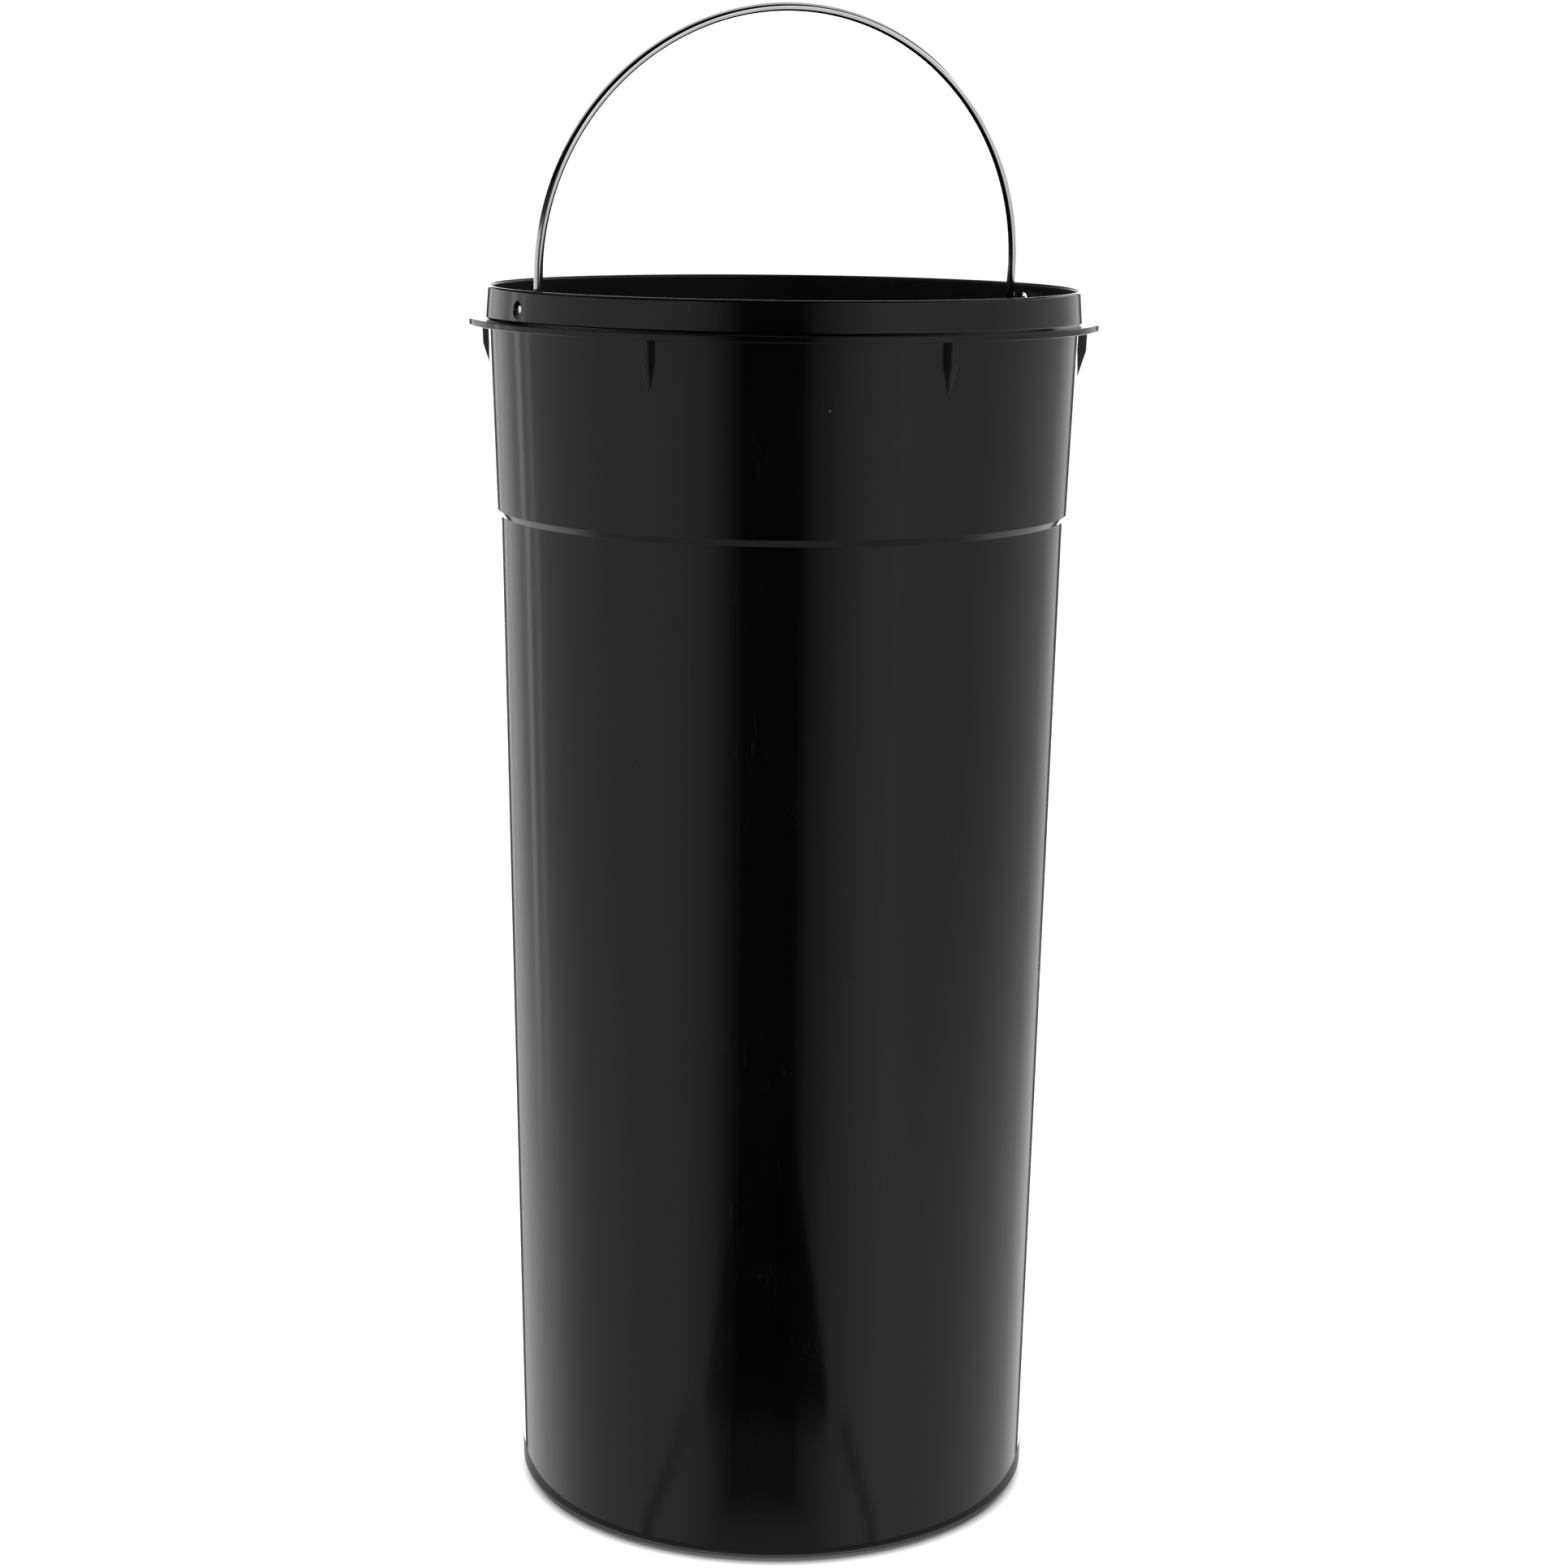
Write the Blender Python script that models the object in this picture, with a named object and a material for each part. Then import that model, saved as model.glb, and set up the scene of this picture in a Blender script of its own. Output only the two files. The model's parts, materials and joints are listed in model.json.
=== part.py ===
"""Tall moulded bucket with a swinging wire bail.

Metres, +Z up. The origin is the centre of the base, on the plane that the bucket stands on.
The bail swings about a line along X, just under the rim, and -Y is the front.
"""

from math import atan2, cos, pi, radians, sin, tan

import bmesh
import bpy
from mathutils import Matrix, Vector

MM = 0.001

# Bucket: heights
BUCKET_HEIGHT = 570.0 * MM
COLLAR_HEIGHT = 14.3 * MM        # rim down to the flange's upper face
FLANGE_THICKNESS = 3.0 * MM
SKIRT_HEIGHT = 83.8 * MM         # flange's lower face down to the step in the wall
STEP_HEIGHT = 3.0 * MM
FOOT_HEIGHT = 2.0 * MM           # how far the base is raised inside its foot ring

# Bucket: radii, widths and drafts
RIM_RADIUS = 136.4 * MM          # outside of the collar, at the rim
COLLAR_FLARE = 1.1 * MM          # how much wider the collar is at its foot
FLANGE_WIDTH = 7.6 * MM
SKIRT_INSET = 1.8 * MM           # from the collar's foot in to the wall under the flange
STEP_DEPTH = 1.8 * MM
FOOT_WIDTH = 9.0 * MM
GATE_RADIUS = 4.0 * MM           # flat middle of the base, where the plastic came in
SKIRT_DRAFT = radians(2.0)
BODY_DRAFT = radians(1.1)

# Bucket: thicknesses and roundings
COLLAR_THICKNESS = 2.5 * MM
WALL_THICKNESS = 2.0 * MM
BASE_THICKNESS = 2.5 * MM
RIM_ROUNDING = 1.15 * MM
COLLAR_FILLET = 1.2 * MM
FLANGE_ROUNDING = 0.5 * MM
BASE_ROUNDING = 3.5 * MM
FLOOR_FILLET = 5.0 * MM

# Ribs under the flange
RIB_HEIGHT = 23.4 * MM
RIB_STRAIGHT = 10.2 * MM         # length of a rib before it tapers towards its point
RIB_DEPTH = 3.6 * MM             # how far a rib stands out of the wall
RIB_ROOT_WIDTH = 5.4 * MM
RIB_RIDGE_WIDTH = 3.4 * MM
RIB_POINT_WIDTH = 0.8 * MM
RIB_KEEL_POWER = 0.7             # below 1, a rib's root keeps its width for longer than its ridge
RIB_EMBED = 0.8 * MM             # how deep a rib is rooted in the wall and the flange
RIB_OFF_PIVOT = radians(33.5)    # between a pivot and the rib on each side of it

# Pivots and bail
PIVOT_LAND = 2.5 * MM            # collar left between the flange and each hole
PIVOT_CLEARANCE = 1.6 * MM       # between the wire and its hole, all round
WIRE_RADIUS = 2.0 * MM
BAIL_HEIGHT = 132.8 * MM         # axis up to the middle of the wire at the top
BAIL_LEG = 16.7 * MM             # straight part of each leg, above the axis
BAIL_SIDE_GAP = 5.6 * MM         # between each leg and the inside of the collar
BAIL_BEND = 4.0 * MM             # radius of the wire's middle line at each turned-out end
TIP_RECESS = 1.3 * MM            # how far each end stops short of the collar's outside
BAIL_LEAN = radians(3.1)         # the bail rests a little forward of upright

# Facets
WALL_SEGMENTS = 96
ROUNDING_SEGMENTS = 3
RIB_TAPER_SEGMENTS = 4
HOLE_SEGMENTS = 24
BEND_SEGMENTS = 6
ARCH_SEGMENTS = 72
WIRE_BEVEL_RESOLUTION = 4
SMOOTH_ANGLE = radians(35.0)
MERGE_DISTANCE = 0.002 * MM

# Heights above the resting plane that several features share
FLANGE_TOP = BUCKET_HEIGHT - COLLAR_HEIGHT
FLANGE_BOTTOM = FLANGE_TOP - FLANGE_THICKNESS
STEP_TOP = FLANGE_BOTTOM - SKIRT_HEIGHT
STEP_BOTTOM = STEP_TOP - STEP_HEIGHT
FLOOR_TOP = FOOT_HEIGHT + BASE_THICKNESS
PIVOT_RISE = PIVOT_LAND + WIRE_RADIUS + PIVOT_CLEARANCE
PIVOT_HEIGHT = FLANGE_TOP + PIVOT_RISE

# Outer radii that several features share
COLLAR_FOOT_RADIUS = RIM_RADIUS + COLLAR_FLARE
FLANGE_RADIUS = COLLAR_FOOT_RADIUS + FLANGE_WIDTH
SKIRT_TOP_RADIUS = COLLAR_FOOT_RADIUS - SKIRT_INSET
SKIRT_FOOT_RADIUS = SKIRT_TOP_RADIUS - SKIRT_HEIGHT * tan(SKIRT_DRAFT)
BODY_TOP_RADIUS = SKIRT_FOOT_RADIUS - STEP_DEPTH
BASE_RADIUS = BODY_TOP_RADIUS - STEP_BOTTOM * tan(BODY_DRAFT)
PIVOT_COLLAR_RADIUS = COLLAR_FOOT_RADIUS - COLLAR_FLARE * PIVOT_RISE / COLLAR_HEIGHT

# Middle of each of the bail's legs, out from the bucket's axis
LEG_RADIUS = PIVOT_COLLAR_RADIUS - COLLAR_THICKNESS - BAIL_SIDE_GAP - WIRE_RADIUS


def clear_scene():
    for item in list(bpy.data.objects):
        bpy.data.objects.remove(item, do_unlink=True)


def plain_material(name, color, roughness, metallic):
    material = bpy.data.materials.new(name)
    material.use_nodes = True
    shader = material.node_tree.nodes["Principled BSDF"]
    shader.inputs["Base Color"].default_value = (*color, 1.0)
    shader.inputs["Roughness"].default_value = roughness
    shader.inputs["Metallic"].default_value = metallic
    return material


def mesh_object(name, build):
    """A mesh object whose shape a function fills in."""
    shape = bmesh.new()
    build(shape)
    bmesh.ops.recalc_face_normals(shape, faces=shape.faces)
    mesh = bpy.data.meshes.new(name)
    shape.to_mesh(mesh)
    shape.free()
    piece = bpy.data.objects.new(name, mesh)
    bpy.context.scene.collection.objects.link(piece)
    return piece


def rounded(before, corner, after, radius):
    """Points of the arc that rounds a profile's corner and meets both of its sides."""
    before, corner, after = Vector(before), Vector(corner), Vector(after)
    to_before = (before - corner).normalized()
    to_after = (after - corner).normalized()
    half_angle = to_before.angle(to_after) / 2.0
    centre = corner + (to_before + to_after).normalized() * radius / sin(half_angle)
    spoke = corner + to_before * radius / tan(half_angle) - centre
    last_spoke = corner + to_after * radius / tan(half_angle) - centre
    sweep = atan2(spoke.cross(last_spoke), spoke.dot(last_spoke))
    points = []
    for step in range(ROUNDING_SEGMENTS + 1):
        turn = Matrix.Rotation(sweep * step / ROUNDING_SEGMENTS, 2)
        points.append(tuple(centre + turn @ spoke))
    return points


def bucket_profile():
    """The wall's outline in X and Z: from under the base, up the outside and down the inside."""
    floor_radius = BASE_RADIUS + FLOOR_TOP * tan(BODY_DRAFT) - WALL_THICKNESS
    foot_inner_radius = BASE_RADIUS - FOOT_WIDTH
    corners = [  # each corner, with the radius of its rounding
        ((GATE_RADIUS, FOOT_HEIGHT), 0.0),
        ((foot_inner_radius - FOOT_HEIGHT, FOOT_HEIGHT), 0.0),
        ((foot_inner_radius, 0.0), 0.0),
        ((BASE_RADIUS, 0.0), BASE_ROUNDING),
        ((BODY_TOP_RADIUS, STEP_BOTTOM), 0.0),
        ((SKIRT_FOOT_RADIUS, STEP_TOP), 0.0),
        ((SKIRT_TOP_RADIUS, FLANGE_BOTTOM), 0.0),
        ((FLANGE_RADIUS, FLANGE_BOTTOM), FLANGE_ROUNDING),
        ((FLANGE_RADIUS, FLANGE_TOP), FLANGE_ROUNDING),
        ((COLLAR_FOOT_RADIUS, FLANGE_TOP), COLLAR_FILLET),
        ((RIM_RADIUS, BUCKET_HEIGHT), RIM_ROUNDING),
        ((RIM_RADIUS - COLLAR_THICKNESS, BUCKET_HEIGHT), RIM_ROUNDING),
        ((COLLAR_FOOT_RADIUS - COLLAR_THICKNESS, FLANGE_TOP), 0.0),
        ((SKIRT_TOP_RADIUS - WALL_THICKNESS, FLANGE_BOTTOM), 0.0),
        ((SKIRT_FOOT_RADIUS - WALL_THICKNESS, STEP_TOP), 0.0),
        ((BODY_TOP_RADIUS - WALL_THICKNESS, STEP_BOTTOM), 0.0),
        ((floor_radius, FLOOR_TOP), FLOOR_FILLET),
        ((GATE_RADIUS, FLOOR_TOP), 0.0),
    ]
    points = []
    for index, (corner, radius) in enumerate(corners):
        if radius == 0.0:
            points.append(corner)
        else:
            points += rounded(corners[index - 1][0], corner, corners[index + 1][0], radius)
    return points


def shape_bucket(shape):
    """Turns the wall's outline round Z and closes the flat middle of the base on both sides."""
    verts = [shape.verts.new((x, 0.0, z)) for x, z in bucket_profile()]
    edges = [shape.edges.new(pair) for pair in zip(verts, verts[1:])]
    bmesh.ops.spin(
        shape,
        geom=verts + edges,
        cent=(0.0, 0.0, 0.0),
        axis=(0.0, 0.0, 1.0),
        angle=2.0 * pi,
        steps=WALL_SEGMENTS,
    )
    bmesh.ops.remove_doubles(shape, verts=shape.verts, dist=MERGE_DISTANCE)
    open_edges = [edge for edge in shape.edges if edge.is_boundary]
    bmesh.ops.holes_fill(shape, edges=open_edges)


def rib_corners(distance):
    """A rib's four corners, out from the axis and across, at a distance below the flange."""
    share = min(1.0, (RIB_HEIGHT - distance) / (RIB_HEIGHT - RIB_STRAIGHT))
    wall = SKIRT_TOP_RADIUS - distance * tan(SKIRT_DRAFT)
    root = 0.5 * (RIB_POINT_WIDTH + (RIB_ROOT_WIDTH - RIB_POINT_WIDTH) * share ** RIB_KEEL_POWER)
    ridge = 0.5 * (RIB_POINT_WIDTH + (RIB_RIDGE_WIDTH - RIB_POINT_WIDTH) * share)
    inner = wall - RIB_EMBED
    outer = wall + RIB_DEPTH * share
    return [(inner, -root), (outer, -ridge), (outer, ridge), (inner, root)]


def shape_rib(shape, angle):
    """A keel rib: a trapezium that runs down the wall and narrows to a point."""
    turn = Matrix.Rotation(angle, 3, "Z")
    taper = (RIB_HEIGHT - RIB_STRAIGHT) / RIB_TAPER_SEGMENTS
    distances = [-RIB_EMBED] + [RIB_STRAIGHT + taper * step for step in range(RIB_TAPER_SEGMENTS + 1)]
    loops = []
    for distance in distances:
        height = FLANGE_BOTTOM - distance
        corners = [Vector((out, across, height)) for out, across in rib_corners(distance)]
        loops.append([shape.verts.new(turn @ corner) for corner in corners])
    for upper, lower in zip(loops, loops[1:]):
        for index in range(4):
            beside = (index + 1) % 4
            shape.faces.new((upper[index], upper[beside], lower[beside], lower[index]))
    shape.faces.new(loops[0])
    shape.faces.new(loops[-1])


def shape_ribs(shape):
    """Six ribs: one either side of each pivot, and one at the front and the back."""
    angles = [pivot + side * RIB_OFF_PIVOT for pivot in (0.0, pi) for side in (-1, 1)]
    for angle in angles + [-0.5 * pi, 0.5 * pi]:
        shape_rib(shape, angle)


def shape_pivot_bore(shape):
    """One rod along X, right across the mouth, that cuts both pivot holes."""
    bmesh.ops.create_cone(
        shape,
        cap_ends=True,
        segments=HOLE_SEGMENTS,
        radius1=WIRE_RADIUS + PIVOT_CLEARANCE,
        radius2=WIRE_RADIUS + PIVOT_CLEARANCE,
        depth=2.0 * FLANGE_RADIUS,
        matrix=Matrix.Translation((0.0, 0.0, PIVOT_HEIGHT)) @ Matrix.Rotation(0.5 * pi, 4, "Y"),
    )


def combine(piece, tool, operation):
    """Adds or cuts a tool's shape, and leaves the tool itself out of the model."""
    boolean = piece.modifiers.new(tool.name, "BOOLEAN")
    boolean.operation = operation
    boolean.object = tool
    tool.hide_render = True
    tool.display_type = "WIRE"


def make_bucket():
    bucket = mesh_object("bucket", shape_bucket)
    combine(bucket, mesh_object("rib_tool", shape_ribs), "UNION")
    combine(bucket, mesh_object("pivot_tool", shape_pivot_bore), "DIFFERENCE")
    bucket.data.materials.append(plain_material("black_plastic", (0.012, 0.012, 0.013), 0.15, 0.0))
    bucket.data.shade_smooth()
    bucket.data.set_sharp_from_angle(angle=SMOOTH_ANGLE)
    return bucket


def bail_path():
    """The wire's middle line in X and Z, from one hole over the arch to the other hole."""
    right = [(PIVOT_COLLAR_RADIUS - TIP_RECESS, 0.0)]
    for step in range(BEND_SEGMENTS + 1):
        turn = 0.5 * pi * step / BEND_SEGMENTS
        right.append((LEG_RADIUS + BAIL_BEND * (1.0 - sin(turn)), BAIL_BEND * (1.0 - cos(turn))))
    arch = []
    for step in range(ARCH_SEGMENTS + 1):
        turn = pi * step / ARCH_SEGMENTS
        arch.append((LEG_RADIUS * cos(turn), BAIL_LEG + (BAIL_HEIGHT - BAIL_LEG) * sin(turn)))
    left = [(-x, z) for x, z in reversed(right)]
    return right + arch + left


def make_bail():
    """The bent wire. Its origin is on its axis, midway between the holes."""
    curve = bpy.data.curves.new("bail_handle", "CURVE")
    curve.dimensions = "3D"
    curve.bevel_depth = WIRE_RADIUS
    curve.bevel_resolution = WIRE_BEVEL_RESOLUTION
    curve.use_fill_caps = True
    path = bail_path()
    spline = curve.splines.new("POLY")
    spline.points.add(len(path) - 1)
    for point, (x, z) in zip(spline.points, path):
        point.co = (x, 0.0, z, 1.0)
    spline.use_smooth = True
    curve.materials.append(plain_material("polished_steel", (0.80, 0.80, 0.81), 0.12, 1.0))
    bail = bpy.data.objects.new("bail_handle", curve)
    bail.location = (0.0, 0.0, PIVOT_HEIGHT)
    bail.rotation_euler = (BAIL_LEAN, 0.0, 0.0)
    bpy.context.scene.collection.objects.link(bail)
    return bail


clear_scene()
make_bucket()
make_bail()
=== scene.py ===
import json
from math import atan2, cos, pi, radians, sin, tan

import bmesh
import bpy
from mathutils import Matrix, Vector


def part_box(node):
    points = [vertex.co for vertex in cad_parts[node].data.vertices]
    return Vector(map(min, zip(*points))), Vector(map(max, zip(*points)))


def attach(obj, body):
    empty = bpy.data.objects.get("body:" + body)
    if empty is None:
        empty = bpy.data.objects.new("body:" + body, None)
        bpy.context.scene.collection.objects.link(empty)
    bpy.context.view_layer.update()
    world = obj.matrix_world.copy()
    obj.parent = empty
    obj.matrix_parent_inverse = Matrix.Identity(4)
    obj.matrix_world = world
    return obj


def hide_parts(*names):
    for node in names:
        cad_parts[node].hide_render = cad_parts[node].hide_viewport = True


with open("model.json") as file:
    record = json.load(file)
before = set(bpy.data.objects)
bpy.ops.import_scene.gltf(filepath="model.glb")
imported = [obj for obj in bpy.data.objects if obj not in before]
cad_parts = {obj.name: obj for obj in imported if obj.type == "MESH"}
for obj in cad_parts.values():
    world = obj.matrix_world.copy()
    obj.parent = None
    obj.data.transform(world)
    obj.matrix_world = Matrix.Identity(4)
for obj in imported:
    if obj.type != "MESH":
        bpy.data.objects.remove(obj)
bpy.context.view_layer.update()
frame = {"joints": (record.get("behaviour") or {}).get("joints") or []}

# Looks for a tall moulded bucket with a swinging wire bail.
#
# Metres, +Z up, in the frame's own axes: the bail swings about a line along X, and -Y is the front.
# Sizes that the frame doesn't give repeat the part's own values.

MM = 0.001
PIVOT = Vector(frame["joints"][0]["pos_m"])

# ---------------------------------------------------------------- sizes of the bucket
BUCKET_LOW, BUCKET_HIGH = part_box("bucket")
RIM_HEIGHT = BUCKET_HIGH.z
FLANGE_RADIUS = BUCKET_HIGH.x
COLLAR_HEIGHT = 14.3 * MM
COLLAR_FLARE = 1.1 * MM
FLANGE_THICKNESS = 3.0 * MM
FLANGE_WIDTH = 7.6 * MM
SKIRT_HEIGHT = 83.8 * MM
SKIRT_INSET = 1.8 * MM
SKIRT_DRAFT = radians(2.0)
STEP_HEIGHT = 3.0 * MM
STEP_DEPTH = 1.8 * MM
BODY_DRAFT = radians(1.1)
FOOT_HEIGHT = 2.0 * MM
FOOT_WIDTH = 9.0 * MM
COLLAR_THICKNESS = 2.5 * MM
WALL_THICKNESS = 2.0 * MM
BASE_THICKNESS = 2.5 * MM

RIM_ROUNDING = 1.15 * MM
COLLAR_FILLET = 1.2 * MM
FLANGE_ROUNDING = 0.5 * MM
SKIRT_FILLET = 0.6 * MM
STEP_ROUNDING = 0.6 * MM
INNER_ROUNDING = 2.0 * MM
LEDGE_ROUNDING = 1.0 * MM
BASE_ROUNDING = 3.5 * MM
FOOT_ROUNDING = 0.6 * MM
FLOOR_FILLET = 5.0 * MM
GATE_DIMPLE_RADIUS = 5.0 * MM
GATE_DIMPLE_DEPTH = 0.5 * MM
GATE_STUB_RADIUS = 1.6 * MM
GATE_STUB_END_RADIUS = 0.8 * MM
GATE_STUB_ROOT_RADIUS = 1.84 * MM
GATE_STUB_HEIGHT = 0.8 * MM
GATE_ROUNDING = 0.2 * MM

RIB_HEIGHT = 23.4 * MM
RIB_STRAIGHT = 10.2 * MM
RIB_DEPTH = 3.6 * MM
RIB_ROOT_WIDTH = 5.4 * MM
RIB_RIDGE_WIDTH = 3.4 * MM
RIB_POINT_WIDTH = 0.8 * MM
RIB_KEEL_POWER = 0.7
RIB_EMBED = 0.8 * MM
RIB_ROUNDING = 0.35 * MM
RIB_OFF_PIVOT = radians(33.5)

HOLE_RADIUS = 3.6 * MM
HOLE_CHAMFER = 0.35 * MM
CUTTER_REACH = 1.0 * MM

# ---------------------------------------------------------------- sizes of the bail
WIRE_RADIUS = 2.0 * MM
BAIL_LEG = 16.7 * MM
BAIL_HEIGHT = 132.8 * MM
BAIL_SIDE_GAP = 5.6 * MM
BAIL_BEND = 4.0 * MM
BAIL_LEAN = radians(3.1)
TIP_RECESS = 1.3 * MM
TIP_CHAMFER = 0.45 * MM

# ---------------------------------------------------------------- how finely shapes are cut
WALL_SEGMENTS = 384
HOLE_SEGMENTS = 64
TABLE_SEGMENTS = 128
ROUNDING_SEGMENTS = 6
SHADING_LAND = 0.05 * MM       # beside each rounding, so that long walls are shaded flat
RIB_SECTIONS = 24
WIRE_SIDES = 40
ARCH_SEGMENTS = 220
BEND_SEGMENTS = 16
SMOOTH_ANGLE = radians(28.0)

# ---------------------------------------------------------------- heights and radii worked out from them
FLANGE_TOP = RIM_HEIGHT - COLLAR_HEIGHT
FLANGE_BOTTOM = FLANGE_TOP - FLANGE_THICKNESS
STEP_TOP = FLANGE_BOTTOM - SKIRT_HEIGHT
STEP_BOTTOM = STEP_TOP - STEP_HEIGHT
FLOOR_TOP = FOOT_HEIGHT + BASE_THICKNESS
COLLAR_FOOT_RADIUS = FLANGE_RADIUS - FLANGE_WIDTH
RIM_RADIUS = COLLAR_FOOT_RADIUS - COLLAR_FLARE
SKIRT_TOP_RADIUS = COLLAR_FOOT_RADIUS - SKIRT_INSET
SKIRT_FOOT_RADIUS = SKIRT_TOP_RADIUS - SKIRT_HEIGHT * tan(SKIRT_DRAFT)
BODY_TOP_RADIUS = SKIRT_FOOT_RADIUS - STEP_DEPTH
BASE_RADIUS = BODY_TOP_RADIUS - STEP_BOTTOM * tan(BODY_DRAFT)
PIVOT_COLLAR_RADIUS = COLLAR_FOOT_RADIUS - COLLAR_FLARE * (PIVOT.z - FLANGE_TOP) / COLLAR_HEIGHT
LEG_RADIUS = PIVOT_COLLAR_RADIUS - COLLAR_THICKNESS - BAIL_SIDE_GAP - WIRE_RADIUS

# ---------------------------------------------------------------- camera and studio
CAMERA_LENS = 72.228
CAMERA_SENSOR = 36.0
CAMERA_AZIMUTH = radians(-31.494)
CAMERA_PITCH = radians(11.442)
CAMERA_ROLL = radians(0.654)
CAMERA_DISTANCE = 1461.5 * MM
CAMERA_OVER_RIM = 62.6 * MM
CAMERA_TURN = radians(0.094)

FLOOR_RADIUS = 2.8
DOME_RADIUS = 3.2
# Painted shade on the table: a painted contact shadow where the table's glow fades under the bucket and just
# in front of it, and a dim disc close round its foot, seen only in reflections
TABLE_PAINTED_SHADOW_OFFSET = 7.0 * MM
TABLE_PAINTED_SHADOW_START = BASE_RADIUS - 5.0 * MM
TABLE_PAINTED_SHADOW_END = BASE_RADIUS + 0.8 * MM
TABLE_GLOW = 0.92
CONTACT_SHADE_WIDTH = 8.0 * MM
CONTACT_SHADE_GLOW = 0.35
CONTACT_SHADE_LIFT = 0.05 * MM


def link(thing):
    bpy.context.scene.collection.objects.link(thing)
    return thing


def mesh_object(name, shape):
    """A mesh object made from a finished bmesh, smooth except across sharp edges."""
    mesh = bpy.data.meshes.new(name)
    shape.to_mesh(mesh)
    shape.free()
    mesh.shade_smooth()
    mesh.set_sharp_from_angle(angle=SMOOTH_ANGLE)
    return link(bpy.data.objects.new(name, mesh))


# ================================================================ the bucket
def rounded(before, corner, after, radius, segments=ROUNDING_SEGMENTS, land=0.0):
    """Points of the arc that rounds an outline's corner and meets both of its sides.

    With a land, one more point lies that far along each side, so that the side is shaded flat.
    """
    before, corner, after = Vector(before), Vector(corner), Vector(after)
    to_before = (before - corner).normalized()
    to_after = (after - corner).normalized()
    half_angle = to_before.angle(to_after) / 2.0
    centre = corner + (to_before + to_after).normalized() * radius / sin(half_angle)
    spoke = corner + to_before * radius / tan(half_angle) - centre
    last_spoke = corner + to_after * radius / tan(half_angle) - centre
    sweep = atan2(spoke.cross(last_spoke), spoke.dot(last_spoke))
    points = []
    for step in range(segments + 1):
        turn = Matrix.Rotation(sweep * step / segments, 2)
        points.append(tuple(centre + turn @ spoke))
    if land:
        reach = radius / tan(half_angle) + land
        points.insert(0, tuple(corner + to_before * reach))
        points.append(tuple(corner + to_after * reach))
    return points


def with_roundings(corners):
    """An outline's points, from its corners and the rounding of each."""
    points = []
    for index, (corner, radius) in enumerate(corners):
        if radius == 0.0:
            points.append(corner)
        else:
            before, after = corners[index - 1][0], corners[index + 1][0]
            points += rounded(before, corner, after, radius, land=SHADING_LAND)
    return points


def bucket_profile():
    """The wall's outline in X and Z: from under the base, up the outside and down the inside."""
    floor_radius = BASE_RADIUS + FLOOR_TOP * tan(BODY_DRAFT) - WALL_THICKNESS
    foot_inner_radius = BASE_RADIUS - FOOT_WIDTH
    dimple = FOOT_HEIGHT + GATE_DIMPLE_DEPTH
    return with_roundings([
        ((GATE_STUB_END_RADIUS, dimple - GATE_STUB_HEIGHT), 0.0),
        ((GATE_STUB_RADIUS, dimple - GATE_STUB_HEIGHT), GATE_ROUNDING),
        ((GATE_STUB_ROOT_RADIUS, dimple), GATE_ROUNDING),
        ((GATE_DIMPLE_RADIUS, dimple), GATE_ROUNDING),
        ((GATE_DIMPLE_RADIUS + GATE_DIMPLE_DEPTH, FOOT_HEIGHT), GATE_ROUNDING),
        ((foot_inner_radius - FOOT_HEIGHT, FOOT_HEIGHT), FOOT_ROUNDING),
        ((foot_inner_radius, 0.0), FOOT_ROUNDING),
        ((BASE_RADIUS, 0.0), BASE_ROUNDING),
        ((BODY_TOP_RADIUS, STEP_BOTTOM), STEP_ROUNDING),
        ((SKIRT_FOOT_RADIUS, STEP_TOP), STEP_ROUNDING),
        ((SKIRT_TOP_RADIUS, FLANGE_BOTTOM), SKIRT_FILLET),
        ((FLANGE_RADIUS, FLANGE_BOTTOM), FLANGE_ROUNDING),
        ((FLANGE_RADIUS, FLANGE_TOP), FLANGE_ROUNDING),
        ((COLLAR_FOOT_RADIUS, FLANGE_TOP), COLLAR_FILLET),
        ((RIM_RADIUS, RIM_HEIGHT), RIM_ROUNDING),
        ((RIM_RADIUS - COLLAR_THICKNESS, RIM_HEIGHT), RIM_ROUNDING),
        ((COLLAR_FOOT_RADIUS - COLLAR_THICKNESS, FLANGE_TOP), INNER_ROUNDING),
        ((SKIRT_TOP_RADIUS - WALL_THICKNESS, FLANGE_BOTTOM), LEDGE_ROUNDING),
        ((SKIRT_FOOT_RADIUS - WALL_THICKNESS, STEP_TOP), STEP_ROUNDING),
        ((BODY_TOP_RADIUS - WALL_THICKNESS, STEP_BOTTOM), STEP_ROUNDING),
        ((floor_radius, FLOOR_TOP), FLOOR_FILLET),
        ((floor_radius * 0.5, FLOOR_TOP), 0.0),
        ((GATE_STUB_RADIUS, FLOOR_TOP), 0.0),
    ])


def turned(shape, outline, segments):
    """Turns an outline in X and Z round Z, and closes the small discs at its two ends."""
    rings = []
    for x, z in outline:
        ring = []
        for step in range(segments):
            turn = 2.0 * pi * step / segments
            ring.append(shape.verts.new((x * cos(turn), x * sin(turn), z)))
        rings.append(ring)
    for ring, following in zip(rings, rings[1:]):
        for step in range(segments):
            beside = (step + 1) % segments
            shape.faces.new((ring[step], ring[beside], following[beside], following[step]))
    shape.faces.new(list(reversed(rings[0])))
    shape.faces.new(rings[-1])


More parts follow.
